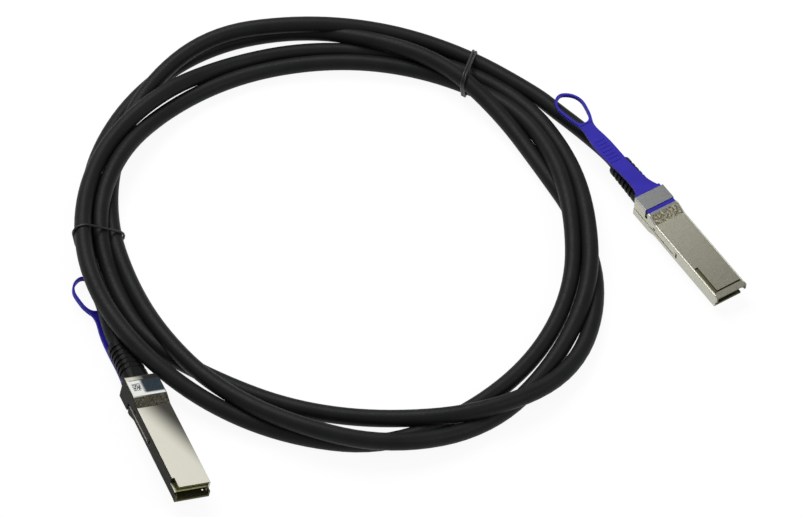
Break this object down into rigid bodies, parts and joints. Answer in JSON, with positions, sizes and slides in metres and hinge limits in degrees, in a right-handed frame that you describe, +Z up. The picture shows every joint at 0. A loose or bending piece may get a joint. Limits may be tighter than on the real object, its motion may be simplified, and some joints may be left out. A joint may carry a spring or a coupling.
{
  "type": "direct attach copper cable",
  "caption": "Coiled black copper network cable with a metal pluggable connector, ribbed strain relief and violet pull-tab latch at each end",
  "frame": {"origin": "on the resting surface, midway between the two plugs in plan", "axes": "+Z up from the resting surface; +X from the left plug towards the right plug; +Y from the plugs' noses towards the coil's far side"},
  "size_m": [0.3495, 0.3176, 0.0216],
  "materials": {
    "diecast_shell": "nickel-plated die-cast zinc, satin",
    "latch_steel": "folded stainless strip, fine grain",
    "spring_steel": "music wire",
    "board_green": "solder mask",
    "contact_gold": "hard gold over nickel",
    "chip_black": "moulded",
    "passive_tan": "ceramic chip",
    "pair_foil": "foil wrap",
    "comb_nylon": "natural nylon",
    "ferrule_metal": "crimped",
    "boot_rubber": "overmoulded, fine matt",
    "jacket_black": "extruded jacket, satin",
    "tie_black": "coated wire tie",
    "tab_violet": "moulded, satin",
    "label_paper": "blank printed film"
  },
  "bodies": {
    "cable_root": {"label_shell_a": "diecast_shell", "latch_cover_a": "diecast_shell", "paddle_card_a": "board_green", "contact_pads_a": "contact_gold", "memory_chip_a": "chip_black", "card_passives_a": "passive_tan", "twinax_pairs_a": "pair_foil", "pair_comb_a": "comb_nylon", "crimp_ferrule_a": "ferrule_metal", "boot_a": "boot_rubber", "jacket_end_a": "jacket_black", "rating_plate_a": "label_paper", "label_shell_b": "diecast_shell", "latch_cover_b": "diecast_shell", "paddle_card_b": "board_green", "contact_pads_b": "contact_gold", "memory_chip_b": "chip_black", "card_passives_b": "passive_tan", "twinax_pairs_b": "pair_foil", "pair_comb_b": "comb_nylon", "crimp_ferrule_b": "ferrule_metal", "boot_b": "boot_rubber", "jacket_end_b": "jacket_black", "rating_plate_b": "label_paper", "return_springs_a": "spring_steel", "return_springs_b": "spring_steel", "cable_coil": "jacket_black", "cable_tail_a": "jacket_black", "cable_tail_b": "jacket_black", "tie_left": "tie_black", "tie_top": "tie_black"},
    "slider_a": {"latch_slider_a": "latch_steel", "pull_tab_a": "tab_violet"},
    "slider_b": {"latch_slider_b": "latch_steel", "pull_tab_b": "tab_violet"}
  },
  "joints": [
    {"name": "latch_pull_a", "type": "slide", "parent": "cable_root", "child": "slider_a", "axis": [-0.524, 0.8517, 0], "range_m": [0, 0.0025], "stiffness_N_per_m": 300, "deforming": ["return_springs_a"]},
    {"name": "latch_pull_b", "type": "slide", "parent": "cable_root", "child": "slider_b", "axis": [-0.406, 0.9118, -0.061], "range_m": [0, 0.0025], "stiffness_N_per_m": 300, "deforming": ["return_springs_b"]}
  ]
}
